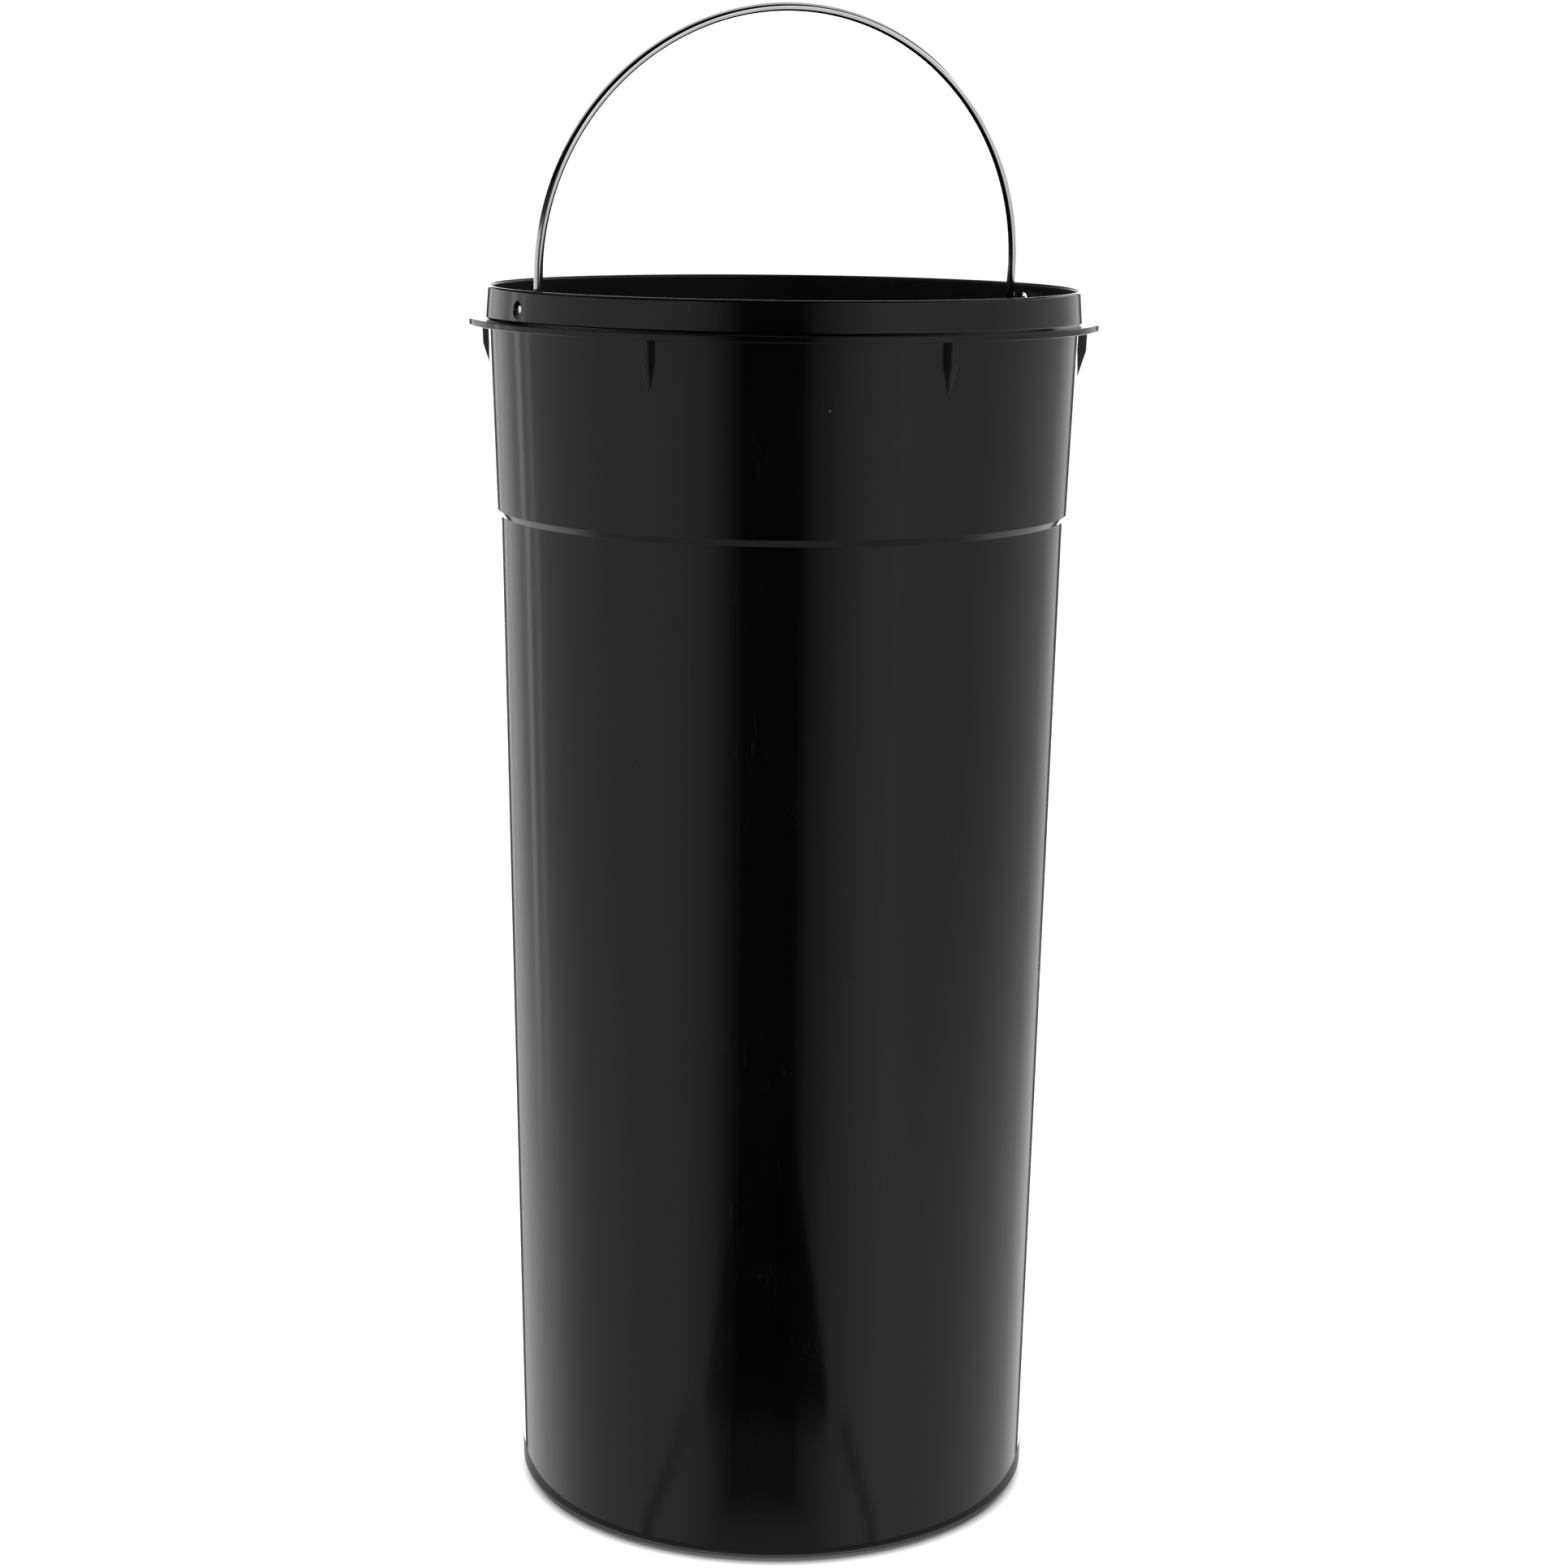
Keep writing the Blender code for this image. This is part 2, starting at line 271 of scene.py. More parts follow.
def rib_section(distance):
    """A rib's outline across the wall at a distance below the flange, out from the axis and across."""
    share = min(1.0, max(0.0, (RIB_HEIGHT - distance) / (RIB_HEIGHT - RIB_STRAIGHT)))
    wall = SKIRT_TOP_RADIUS - distance * tan(SKIRT_DRAFT)
    root = 0.5 * (RIB_POINT_WIDTH + (RIB_ROOT_WIDTH - RIB_POINT_WIDTH) * share ** RIB_KEEL_POWER)
    ridge = 0.5 * (RIB_POINT_WIDTH + (RIB_RIDGE_WIDTH - RIB_POINT_WIDTH) * share)
    inner = wall - RIB_EMBED
    outer = wall + RIB_DEPTH * share
    corner_rounding = min(RIB_ROUNDING, 0.8 * ridge)
    section = [(inner, -root)]
    section += rounded((inner, -root), (outer, -ridge), (outer, ridge), corner_rounding, 4)
    section += rounded((outer, -ridge), (outer, ridge), (inner, root), corner_rounding, 4)
    section.append((inner, root))
    return section


def add_rib(shape, angle):
    """A keel rib that runs down the wall and narrows to a point."""
    turn = Matrix.Rotation(angle, 3, "Z")
    distances = [-RIB_EMBED, 0.5 * RIB_STRAIGHT]
    for step in range(RIB_SECTIONS + 1):
        distances.append(RIB_STRAIGHT + (RIB_HEIGHT - RIB_STRAIGHT) * step / RIB_SECTIONS)
    loops = []
    for distance in distances:
        height = FLANGE_BOTTOM - distance
        loops.append([
            shape.verts.new(turn @ Vector((out, across, height))) for out, across in rib_section(distance)
        ])
    count = len(loops[0])
    for upper, lower in zip(loops, loops[1:]):
        for index in range(count):
            beside = (index + 1) % count
            shape.faces.new((upper[index], upper[beside], lower[beside], lower[index]))
    shape.faces.new(loops[0])
    shape.faces.new(list(reversed(loops[-1])))


def hole_cutter():
    """One rod along X, right across the mouth, with a small chamfer at each face of the collar."""
    outside = PIVOT_COLLAR_RADIUS
    inside = PIVOT_COLLAR_RADIUS - COLLAR_THICKNESS
    wide = HOLE_RADIUS + HOLE_CHAMFER + CUTTER_REACH
    right = [
        (wide, inside - CUTTER_REACH),
        (HOLE_RADIUS, inside + HOLE_CHAMFER),
        (HOLE_RADIUS, outside - HOLE_CHAMFER),
        (wide, outside + CUTTER_REACH),
    ]
    left = [(radius, -along) for radius, along in reversed(right)]
    shape = bmesh.new()
    turned(shape, left + right, HOLE_SEGMENTS)
    bmesh.ops.recalc_face_normals(shape, faces=shape.faces)
    lie = Matrix.Translation(Vector((0.0, 0.0, PIVOT.z))) @ Matrix.Rotation(0.5 * pi, 4, "Y")
    bmesh.ops.transform(shape, matrix=lie, verts=shape.verts)
    return mesh_object("hole_cutter", shape)


def make_bucket():
    """The whole moulding: wall, base, step, flange, collar and ribs, with the two pivot holes."""
    shape = bmesh.new()
    turned(shape, bucket_profile(), WALL_SEGMENTS)
    bmesh.ops.recalc_face_normals(shape, faces=shape.faces)
    plain = mesh_object("bucket_plain", shape)
    cutter = hole_cutter()
    cut = plain.modifiers.new("holes", "BOOLEAN")
    cut.operation = "DIFFERENCE"
    cut.object = cutter
    bpy.context.view_layer.update()
    depsgraph = bpy.context.evaluated_depsgraph_get()
    cut_mesh = bpy.data.meshes.new_from_object(plain.evaluated_get(depsgraph))
    shape = bmesh.new()
    shape.from_mesh(cut_mesh)
    ribs = bmesh.new()
    for pivot in (0.0, pi):
        for side in (-1, 1):
            add_rib(ribs, pivot + side * RIB_OFF_PIVOT)
    for angle in (-0.5 * pi, 0.5 * pi):
        add_rib(ribs, angle)
    bmesh.ops.recalc_face_normals(ribs, faces=ribs.faces)
    rib_mesh = bpy.data.meshes.new("ribs")
    ribs.to_mesh(rib_mesh)
    ribs.free()
    shape.from_mesh(rib_mesh)
    bucket = mesh_object("bucket_shell", shape)
    for item in (plain, cutter):
        bpy.data.objects.remove(item, do_unlink=True)
    return bucket


# ================================================================ the bail
def bail_path():
    """The wire's middle line in X and Z, from one end over the arch to the other."""
    right = [(PIVOT_COLLAR_RADIUS - TIP_RECESS, 0.0)]
    for step in range(BEND_SEGMENTS + 1):
        turn = 0.5 * pi * step / BEND_SEGMENTS
        right.append((LEG_RADIUS + BAIL_BEND * (1.0 - sin(turn)), BAIL_BEND * (1.0 - cos(turn))))
    arch = []
    for step in range(ARCH_SEGMENTS + 1):
        turn = pi * step / ARCH_SEGMENTS
        arch.append((LEG_RADIUS * cos(turn), BAIL_LEG + (BAIL_HEIGHT - BAIL_LEG) * sin(turn)))
    left = [(-x, z) for x, z in reversed(right)]
    return right + arch + left


def make_bail():
    """The bent wire, with cut ends chamfered a little. Its UV map runs round and along the wire."""
    points = [Vector((x, 0.0, z)) for x, z in bail_path()]
    first = (points[1] - points[0]).normalized()
    stations = [(points[0], WIRE_RADIUS - TIP_CHAMFER), (points[0] + first * TIP_CHAMFER, WIRE_RADIUS)]
    stations += [(point, WIRE_RADIUS) for point in points[1:-1]]
    last = (points[-2] - points[-1]).normalized()
    stations += [(points[-1] + last * TIP_CHAMFER, WIRE_RADIUS), (points[-1], WIRE_RADIUS - TIP_CHAMFER)]
    shape = bmesh.new()
    layer = shape.loops.layers.uv.new("round_and_along")
    side = Vector((0.0, 1.0, 0.0))
    rings = []
    lengths = [0.0]
    for index, (point, radius) in enumerate(stations):
        before = stations[max(0, index - 1)][0]
        after = stations[min(len(stations) - 1, index + 1)][0]
        along = (after - before).normalized()
        up = along.cross(side)
        ring = []
        for step in range(WIRE_SIDES):
            turn = 2.0 * pi * step / WIRE_SIDES
            ring.append(shape.verts.new(point + (side * cos(turn) + up * sin(turn)) * radius))
        rings.append(ring)
        if index:
            lengths.append(lengths[-1] + (point - stations[index - 1][0]).length)
    for index in range(len(rings) - 1):
        for step in range(WIRE_SIDES):
            beside = (step + 1) % WIRE_SIDES
            face = shape.faces.new((
                rings[index][step], rings[index][beside], rings[index + 1][beside], rings[index + 1][step]
            ))
            around = (step / WIRE_SIDES, (step + 1) / WIRE_SIDES)
            for loop, u, v in zip(
                face.loops, (around[0], around[1], around[1], around[0]),
                (lengths[index], lengths[index], lengths[index + 1], lengths[index + 1]),
            ):
                loop[layer].uv = (u, v)
    shape.faces.new(list(reversed(rings[0])))
    shape.faces.new(rings[-1])
    bmesh.ops.recalc_face_normals(shape, faces=shape.faces)
    lean = Matrix.Translation(PIVOT) @ Matrix.Rotation(BAIL_LEAN, 4, "X")
    bmesh.ops.transform(shape, matrix=lean, verts=shape.verts)
    return mesh_object("bail_wire", shape)


# ================================================================ material helpers
class Recipe:
    """A node tree that is being filled in."""

    def __init__(self, tree):
        self.tree = tree

    def node(self, kind, settings=None, **inputs):
        made = self.tree.nodes.new(kind)
        for name, value in (settings or {}).items():
            setattr(made, name, value)
        for name, value in inputs.items():
            socket = made.inputs[name.replace("_", " ")]
            self.feed(socket, value)
        return made

    def feed(self, socket, value):
        if isinstance(value, bpy.types.NodeSocket):
            self.tree.links.new(value, socket)
        else:
            socket.default_value = value

    def math(self, operation, first, second=0.0, third=0.0):
        made = self.tree.nodes.new("ShaderNodeMath")
        made.operation = operation
        for socket, value in zip(made.inputs, (first, second, third)):
            self.feed(socket, value)
        return made.outputs[0]

    def stretched(self, source, scale, turn=(0.0, 0.0, 0.0)):
        made = self.node("ShaderNodeMapping", Vector=source)
        made.inputs["Scale"].default_value = scale
        made.inputs["Rotation"].default_value = turn
        return made.outputs["Vector"]

    def noise(self, source, scale, detail=2.0, roughness=0.5):
        made = self.node("ShaderNodeTexNoise", Vector=source, Scale=scale, Detail=detail, Roughness=roughness)
        return made.outputs["Fac"]

    def between(self, value, low, high, to_low=0.0, to_high=1.0):
        made = self.node("ShaderNodeMapRange", {"clamp": True})
        self.feed(made.inputs["Value"], value)
        for name, number in (("From Min", low), ("From Max", high), ("To Min", to_low), ("To Max", to_high)):
            made.inputs[name].default_value = number
        return made.outputs["Result"]

    def mix_colors(self, share, first, second):
        made = self.node("ShaderNodeMix", {"data_type": "RGBA"})
        self.feed(made.inputs[0], share)
        self.feed(made.inputs[6], first)
        self.feed(made.inputs[7], second)
        return made.outputs[2]


def new_material(name):
    material = bpy.data.materials.new(name)
    material.use_nodes = True
    tree = material.node_tree
    tree.nodes.clear()
    return material, Recipe(tree)


def hairlines(recipe, source, scale, turn, width):
    """Thin lines where a strongly stretched noise crosses its middle value."""
    field = recipe.noise(recipe.stretched(source, scale, turn), 1.0, 1.0, 0.4)
    away = recipe.math("ABSOLUTE", recipe.math("SUBTRACT", field, 0.5))
    return recipe.between(away, 0.0, width, 1.0, 0.0)


def black_plastic():
    """Glossy black moulded polypropylene: almost mirror smooth, with handling and nesting marks."""
    material, r = new_material("glossy_black_plastic")
    coordinates = r.node("ShaderNodeTexCoord")
    where = coordinates.outputs["Object"]
    flatten = r.node("ShaderNodeVectorMath", {"operation": "MULTIPLY"}, Vector=where)
    flatten.inputs[1].default_value = (1.0, 1.0, 0.0)
    outward = r.node("ShaderNodeVectorMath", {"operation": "NORMALIZE"}, Vector=flatten.outputs[0])
    smudges = r.noise(where, 14.0, 4.0, 0.6)
    patches = r.between(smudges, 0.42, 0.75)
    flow = r.noise(r.stretched(where, (55.0, 55.0, 3.0)), 1.0, 3.0, 0.5)
    drag = hairlines(r, where, (420.0, 420.0, 7.0), (0.0, 0.0, 0.0), 0.012)
    drag_zone = r.between(r.noise(where, 22.0, 2.0, 0.5), 0.52, 0.68)
    nesting_marks = r.math("MULTIPLY", drag, drag_zone)
    slant = hairlines(r, where, (60.0, 500.0, 160.0), (0.5, 0.3, 0.9), 0.006)
    cross = hairlines(r, where, (480.0, 70.0, 140.0), (-0.6, 0.4, 0.2), 0.006)
    scratch_zone = r.between(r.noise(where, 31.0, 2.0, 0.5), 0.55, 0.7)
    scratches = r.math("MULTIPLY", r.math("MAXIMUM", slant, cross), scratch_zone)
    specks = r.node("ShaderNodeTexVoronoi", {"feature": "F1"}, Vector=where, Scale=95.0)
    speck_size = r.between(specks.outputs["Distance"], 0.02, 0.05, 1.0, 0.0)
    speck_pick = r.node("ShaderNodeSeparateColor", Color=specks.outputs["Color"]).outputs[0]
    dust = r.math("MULTIPLY", speck_size, r.math("GREATER_THAN", speck_pick, 0.985))
    edges = r.node("ShaderNodeNewGeometry").outputs["Pointiness"]
    wear = r.math("MULTIPLY", r.between(edges, 0.515, 0.60), r.between(smudges, 0.35, 0.65, 0.35, 1.0))
    marks = r.math("MAXIMUM", nesting_marks, scratches)
    facing = r.node("ShaderNodeVectorMath", {"operation": "DOT_PRODUCT"})
    r.feed(facing.inputs[0], coordinates.outputs["Normal"])
    r.feed(facing.inputs[1], outward.outputs[0])
    inside = r.between(facing.outputs["Value"], 0.2, -0.4)
    roughness = r.math("MULTIPLY_ADD", patches, 0.035, 0.055)
    roughness = r.math("MULTIPLY_ADD", inside, 0.25, roughness)
    roughness = r.math("MULTIPLY_ADD", marks, 0.10, roughness)
    roughness = r.math("MULTIPLY_ADD", wear, 0.14, roughness)
    roughness = r.math("MULTIPLY_ADD", dust, 0.35, roughness)
    color = r.mix_colors(flow, (0.0005, 0.0005, 0.0006, 1.0), (0.0009, 0.0009, 0.0010, 1.0))
    # The inner walls get a lighter black: painted light for the lit look inside the bucket
    color = r.mix_colors(inside, color, (0.004, 0.004, 0.0042, 1.0))
    color = r.mix_colors(r.math("MULTIPLY", wear, 0.5), color, (0.012, 0.012, 0.0125, 1.0))
    color = r.mix_colors(r.math("MULTIPLY", marks, 0.25), color, (0.02, 0.02, 0.02, 1.0))
    color = r.mix_colors(r.math("MULTIPLY", dust, 0.8), color, (0.16, 0.16, 0.155, 1.0))
    skin = r.noise(where, 240.0, 2.0, 0.5)
    sway = r.noise(r.stretched(where, (26.0, 26.0, 9.0)), 1.0, 1.0, 0.4)
    relief = r.math("MULTIPLY_ADD", skin, 0.0000035, r.math("MULTIPLY", sway, 0.00004))
    relief = r.math("MULTIPLY_ADD", marks, -0.0000025, relief)
    bump = r.node("ShaderNodeBump", Height=relief, Strength=1.0, Distance=1.0)
    shader = r.node(
        "ShaderNodeBsdfPrincipled",
        Base_Color=color, Roughness=roughness, IOR=1.43, Normal=bump.outputs["Normal"],
    )
    r.node("ShaderNodeOutputMaterial", Surface=shader.outputs["BSDF"])
    return material


def steel_wire():
    """Bright drawn steel: fine lines along the wire, duller where it was bent and where it rubs."""
    material, r = new_material("bright_drawn_steel")
    coordinates = r.node("ShaderNodeTexCoord")
    along = coordinates.outputs["UV"]
    where = coordinates.outputs["Object"]
    draw_lines = r.noise(r.stretched(along, (90.0, 14.0, 1.0)), 1.0, 3.0, 0.6)
    die_marks = hairlines(r, along, (46.0, 5.0, 1.0), (0.0, 0.0, 0.0), 0.02)
    nicks = hairlines(r, along, (6.0, 900.0, 1.0), (0.0, 0.0, 0.35), 0.01)
    nick_zone = r.between(r.noise(along, 38.0, 2.0, 0.5), 0.58, 0.7)
    nicks = r.math("MULTIPLY", nicks, nick_zone)
    tarnish = r.between(r.noise(where, 60.0, 4.0, 0.6), 0.45, 0.8)
    roughness = r.math("MULTIPLY_ADD", draw_lines, 0.06, 0.06)
    roughness = r.math("MULTIPLY_ADD", die_marks, 0.05, roughness)
    roughness = r.math("MULTIPLY_ADD", tarnish, 0.06, roughness)
    roughness = r.math("MULTIPLY_ADD", nicks, 0.15, roughness)
    color = r.mix_colors(tarnish, (0.80, 0.80, 0.81, 1.0), (0.66, 0.655, 0.65, 1.0))
    color = r.mix_colors(r.math("MULTIPLY", die_marks, 0.25), color, (0.5, 0.5, 0.5, 1.0))
    relief = r.math("MULTIPLY_ADD", draw_lines, 0.000002, r.math("MULTIPLY", die_marks, -0.000002))
    relief = r.math("MULTIPLY_ADD", nicks, -0.000004, relief)
    bump = r.node("ShaderNodeBump", Height=relief, Strength=1.0, Distance=1.0)
    shader = r.node(
        "ShaderNodeBsdfPrincipled",
        Base_Color=color, Metallic=1.0, Roughness=roughness, Normal=bump.outputs["Normal"],
    )
    r.node("ShaderNodeOutputMaterial", Surface=shader.outputs["BSDF"])
    return material


# ================================================================ camera, floor and light
def make_camera():
    """Looks down at the bucket from its front left, a little above the rim."""
    data = bpy.data.cameras.new("camera")
    data.lens = CAMERA_LENS
    data.sensor_width = CAMERA_SENSOR
    data.clip_start = 0.05
    data.clip_end = 50.0
    camera = link(bpy.data.objects.new("camera", data))
    back = Vector((sin(CAMERA_AZIMUTH), -cos(CAMERA_AZIMUTH), 0.0))
    place = back * CAMERA_DISTANCE + Vector((0.0, 0.0, RIM_HEIGHT + CAMERA_OVER_RIM))
    aim = Matrix.Rotation(CAMERA_AZIMUTH - CAMERA_TURN, 4, "Z")
    aim = aim @ Matrix.Rotation(0.5 * pi - CAMERA_PITCH, 4, "X") @ Matrix.Rotation(CAMERA_ROLL, 4, "Z")
    camera.matrix_world = Matrix.Translation(place) @ aim
    bpy.context.scene.camera = camera
    return camera


def make_world():
    """Even white all round."""
    world = bpy.data.worlds.new("white_studio")
    world.use_nodes = True
    world.node_tree.nodes["Background"].inputs["Color"].default_value = (1.0, 1.0, 1.0, 1.0)
    world.node_tree.nodes["Background"].inputs["Strength"].default_value = 1.05
    bpy.context.scene.world = world
    bpy.context.scene.view_settings.view_transform = "Standard"
    bpy.context.scene.view_settings.look = "None"


def floor_material():
    """A pale lit table: it glows evenly, with a painted contact shadow where its glow fades under the bucket
    and just in front of it.
    """
    material, r = new_material("pale_table")
    where = r.node("ShaderNodeTexCoord").outputs["Object"]
    parts = r.node("ShaderNodeSeparateXYZ", Vector=where)
    across = r.math("SUBTRACT", parts.outputs["X"], sin(CAMERA_AZIMUTH) * TABLE_PAINTED_SHADOW_OFFSET)
    deep = r.math("ADD", parts.outputs["Y"], cos(CAMERA_AZIMUTH) * TABLE_PAINTED_SHADOW_OFFSET)
    out = r.math("SQRT", r.math("ADD", r.math("MULTIPLY", across, across), r.math("MULTIPLY", deep, deep)))
    # The glow fades out towards the bucket, offset towards the camera: a painted contact shadow
    glow = r.between(out, TABLE_PAINTED_SHADOW_START, TABLE_PAINTED_SHADOW_END, 0.0, TABLE_GLOW)
    grain = r.noise(where, 300.0, 3.0, 0.6)
    color = r.mix_colors(grain, (0.22, 0.22, 0.22, 1.0), (0.25, 0.25, 0.25, 1.0))
    shader = r.node(
        "ShaderNodeBsdfPrincipled", Base_Color=color, Roughness=0.7, Emission_Color=(1.0, 1.0, 1.0, 1.0),
        Emission_Strength=glow,
    )
    shader.inputs["Specular IOR Level"].default_value = 0.0
    r.node("ShaderNodeOutputMaterial", Surface=shader.outputs["BSDF"])
    material.cycles.emission_sampling = "NONE"
    return material


def show_in_reflections_only(thing):
    thing.visible_camera = False
    thing.visible_diffuse = False
    thing.visible_shadow = False
    thing.visible_transmission = False


def make_floor():
    """A wide pale table. Reflections show the studio's own lower half in its place."""
    shape = bmesh.new()
    bmesh.ops.create_circle(shape, cap_ends=True, segments=TABLE_SEGMENTS, radius=FLOOR_RADIUS)
    floor = mesh_object("floor", shape)
    floor.location = (0.0, 0.0, BUCKET_LOW.z)
    floor.data.materials.append(floor_material())
    floor.visible_glossy = False


def make_contact_shade():
    """A dim disc seen only in reflections: painted shade of the table close round the foot, for the foot's
    own rounding to mirror.
    """
    shape = bmesh.new()
    radius = BASE_RADIUS + CONTACT_SHADE_WIDTH
    bmesh.ops.create_circle(shape, cap_ends=True, segments=TABLE_SEGMENTS, radius=radius)
    shade = mesh_object("painted_contact_shade", shape)
    shade.location = (0.0, 0.0, BUCKET_LOW.z + CONTACT_SHADE_LIFT)
    material, r = new_material("painted_table_shade")
    # Painted shade: a dim glow that stands in for the shadowed table by the foot
    glow = r.node("ShaderNodeEmission", Color=(1.0, 1.0, 1.0, 1.0), Strength=CONTACT_SHADE_GLOW)
    r.node("ShaderNodeOutputMaterial", Surface=glow.outputs["Emission"])
    material.cycles.emission_sampling = "NONE"
    shade.data.materials.append(material)
    show_in_reflections_only(shade)


# Brightness of the studio round the horizon on each side, by the angle in degrees from the
# direction of the camera, level with the bucket and lower down
STUDIO_LEFT = [
    (0.0, 0.0), (10.0, 0.0), (14.0, 0.02), (21.0, 0.20), (28.0, 0.41), (38.0, 0.59), (60.0, 0.64),
    (100.0, 0.66), (108.0, 0.66), (112.0, 0.72), (113.5, 1.0), (115.5, 1.0), (117.0, 0.74),
    (120.0, 0.74), (121.5, 1.35), (123.5, 1.35), (125.5, 0.78), (129.0, 0.74), (134.0, 0.95),
    (143.0, 1.08), (147.0, 0.85), (149.5, 1.1), (151.5, 1.15), (154.0, 0.10), (158.0, 0.10),
    (160.0, 3.0), (180.0, 3.0),
]
STUDIO_LEFT_LOW = [
    (0.0, 0.0), (10.0, 0.0), (14.0, 0.02), (21.0, 0.20), (28.0, 0.41), (38.0, 0.59), (60.0, 0.66),
    (90.0, 0.72), (100.0, 0.84), (112.0, 1.05), (131.0, 1.15), (143.0, 1.10), (151.0, 1.0),
    (154.0, 0.10), (158.0, 0.10), (160.0, 3.0), (180.0, 3.0),
]
STUDIO_RIGHT = [
    (0.0, 0.0), (3.0, 0.0), (7.0, 0.04), (12.0, 0.20), (19.0, 0.33), (29.0, 0.56), (46.0, 0.76),
    (65.0, 0.60), (90.0, 0.57), (130.0, 0.60), (145.0, 0.90), (151.0, 1.0), (154.0, 0.10),
    (158.0, 0.10), (160.0, 3.0), (180.0, 3.0),
]
STUDIO_RIGHT_LOW = [
    (0.0, 0.0), (3.0, 0.0), (7.0, 0.04), (12.0, 0.20), (19.0, 0.33), (29.0, 0.54), (46.0, 0.78),
    (65.0, 0.70), (90.0, 0.70), (130.0, 0.90), (145.0, 1.20), (151.0, 1.2), (154.0, 0.10),
    (158.0, 0.10), (160.0, 3.0), (180.0, 3.0),
]

# Heights in the studio are given as the tangent of the angle above the horizon. Each pair is where
# a blend starts and where it ends.
LOW_BLEND = (-0.12, -0.30)
CEILING_BLEND = (0.33, 0.39)
SIDE_LIGHT_END = (0.62, 0.72)
TABLE_BLEND = (-0.66, -0.85)

# The camera's stand, a dark wedge that widens downwards and parts into two legs. Each side gives
# the wedge's edge at its top and at the fork, the leg's foot, and how dark the wedge is there.
STAND_SIDES = [(-12.0, -31.0, -58.0, 0.5), (6.0, 26.0, 46.0, 0.85)]
STAND_TOP = -0.26
STAND_FORK = -0.41
STAND_FOOT = -0.48
STAND_EDGE = radians(3.0)
STAND_LEG_WIDTH = radians(5.0)
STAND_LEG_DARKNESS = 0.55

# Brightness of the soft light overhead, behind the bucket, and of the light up at the right
OVERHEAD_GLOW = 0.6
SIDE_LIGHT_GLOW = 1.2

# Brightness of what lies below the bucket's foot in its reflections
TABLE_REFLECTED = (0.4, 0.4, 0.4, 1.0)

BLACK = (0.0, 0.0, 0.0, 1.0)


def ramp(recipe, turned_away, levels):
    """The brightness listed for an angle that runs from 0 at the camera to 1 behind the bucket."""
    made = recipe.node("ShaderNodeValToRGB", Fac=turned_away)
    stops = made.color_ramp.elements
    stops.remove(stops[-1])
    for index, (degrees, level) in enumerate(levels):
        stop = stops[0] if index == 0 else stops.new(degrees / 180.0)
        stop.position = degrees / 180.0
        stop.color = (level, level, level, 1.0)
    return made.outputs["Color"]


def grey(recipe, level):
    """A level as a colour."""
    return recipe.node("ShaderNodeCombineColor", Red=level, Green=level, Blue=level).outputs["Color"]


def with_stand(r, walls, angle, height):
    """The walls with the camera's stand in front of them."""
    in_wedge = r.math(
        "MULTIPLY", r.between(height, STAND_TOP, STAND_TOP - 0.05),
        r.between(height, STAND_FORK - 0.025, STAND_FORK - 0.005),
    )
    in_legs = r.between(height, STAND_FORK - 0.005, STAND_FORK - 0.02)
    for top, fork, foot, darkness in STAND_SIDES:
        side = 1.0 if fork > 0.0 else -1.0
        edge = r.between(height, STAND_TOP, STAND_FORK, radians(top), radians(fork))
        turned_out = r.math("MULTIPLY", angle, side)
        beyond = r.math("SUBTRACT", turned_out, r.math("MULTIPLY", edge, side))
        on_side = r.math("GREATER_THAN", turned_out, 0.0)
        inside = r.math("MULTIPLY", r.between(beyond, 0.0, -STAND_EDGE), on_side)
        shade = r.math("MULTIPLY", r.math("MULTIPLY", inside, in_wedge), darkness)
        walls = r.mix_colors(shade, walls, BLACK)
        centre = r.between(height, STAND_FORK, STAND_FOOT, radians(fork), radians(foot))
        away = r.math("ABSOLUTE", r.math("SUBTRACT", angle, centre))
        leg = r.math("MULTIPLY", r.between(away, 0.0, STAND_LEG_WIDTH, STAND_LEG_DARKNESS, 0.0), in_legs)
        walls = r.mix_colors(leg, walls, BLACK)
    return walls


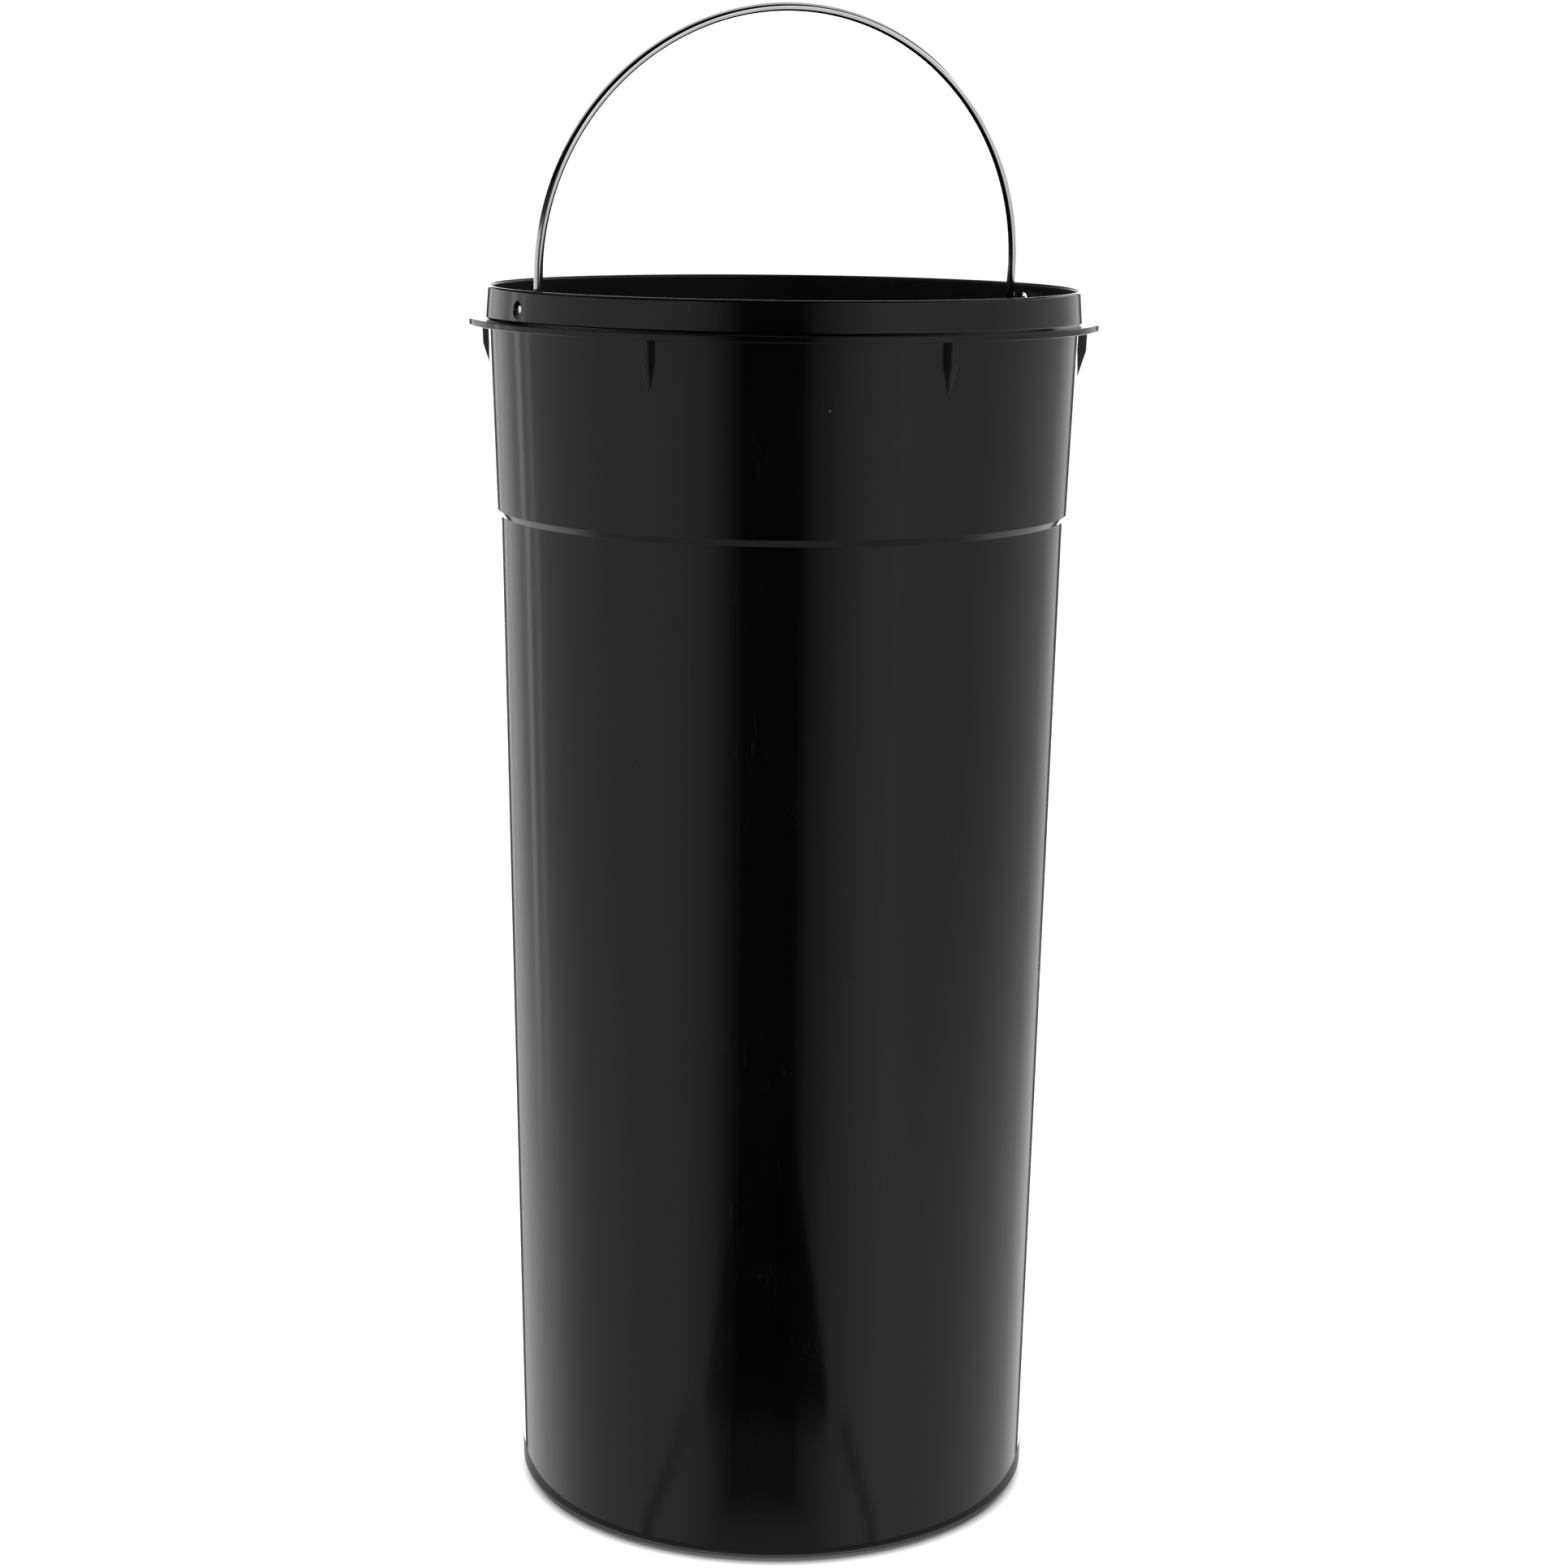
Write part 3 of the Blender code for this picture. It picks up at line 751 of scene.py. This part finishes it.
def dome_material():
    """A studio seen only in reflections: white walls, bright behind, and a dark gap at the camera."""
    material, r = new_material("studio_walls")
    where = r.node("ShaderNodeTexCoord").outputs["Object"]
    parts = r.node("ShaderNodeSeparateXYZ", Vector=where)
    sideways, behind, up = (r.math("DIVIDE", parts.outputs[axis], DOME_RADIUS) for axis in "XYZ")
    angle = r.math("ARCTAN2", parts.outputs["X"], r.math("MULTIPLY", parts.outputs["Y"], -1.0))
    turned_away = r.between(r.math("ABSOLUTE", angle), 0.0, pi)
    flat = r.math("SQRT", r.math(
        "ADD", r.math("MULTIPLY", parts.outputs["X"], parts.outputs["X"]),
        r.math("MULTIPLY", parts.outputs["Y"], parts.outputs["Y"]),
    ))
    height = r.math("DIVIDE", parts.outputs["Z"], flat)

    low = r.between(height, *LOW_BLEND)
    left = r.mix_colors(low, ramp(r, turned_away, STUDIO_LEFT), ramp(r, turned_away, STUDIO_LEFT_LOW))
    right = r.mix_colors(low, ramp(r, turned_away, STUDIO_RIGHT), ramp(r, turned_away, STUDIO_RIGHT_LOW))
    horizon = r.mix_colors(r.math("GREATER_THAN", angle, 0.0), left, right)

    # A little light between the stand's legs, and more at their feet
    between_legs = r.between(height, STAND_FORK, -0.43, 0.02, 0.10)
    at_feet = r.between(height, -0.468, STAND_FOOT, 0.0, 0.26)
    fill = r.math("ADD", between_legs, at_feet)
    lighter = r.node("ShaderNodeMix", {"data_type": "RGBA", "blend_type": "LIGHTEN"})
    r.feed(lighter.inputs[0], 1.0)
    r.feed(lighter.inputs[6], horizon)
    r.feed(lighter.inputs[7], grey(r, fill))
    walls = with_stand(r, lighter.outputs[2], angle, height)
    walls = r.mix_colors(r.between(height, *TABLE_BLEND), walls, TABLE_REFLECTED)

    to_the_right = r.between(sideways, 0.15, 0.40, 0.02, SIDE_LIGHT_GLOW)
    side_light = r.math("MULTIPLY", to_the_right, r.between(height, *SIDE_LIGHT_END, 1.0, 0.0))
    to_the_back = r.between(behind, -0.05, 0.20, 0.0, OVERHEAD_GLOW)
    overhead = r.math("MULTIPLY", r.between(up, 0.60, 0.78), to_the_back)
    above = r.math("MAXIMUM", side_light, overhead)
    color = r.mix_colors(r.between(height, *CEILING_BLEND), walls, grey(r, above))
    glow = r.node("ShaderNodeEmission", Color=color, Strength=1.0)
    r.node("ShaderNodeOutputMaterial", Surface=glow.outputs["Emission"])
    material.cycles.emission_sampling = "NONE"
    return material


def make_dome():
    shape = bmesh.new()
    bmesh.ops.create_uvsphere(shape, u_segments=96, v_segments=48, radius=DOME_RADIUS)
    bmesh.ops.reverse_faces(shape, faces=shape.faces)
    dome = mesh_object("studio_dome", shape)
    dome.rotation_euler = (0.0, 0.0, CAMERA_AZIMUTH)
    dome.data.materials.append(dome_material())
    show_in_reflections_only(dome)


def dress(piece, material, body, node):
    piece.data.materials.clear()
    piece.data.materials.append(material)
    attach(piece, body)
    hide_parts(node)


make_camera()
make_world()
make_floor()
make_contact_shade()
make_dome()
dress(make_bucket(), black_plastic(), "bucket", "bucket")
dress(make_bail(), steel_wire(), "bail", "bail_handle")
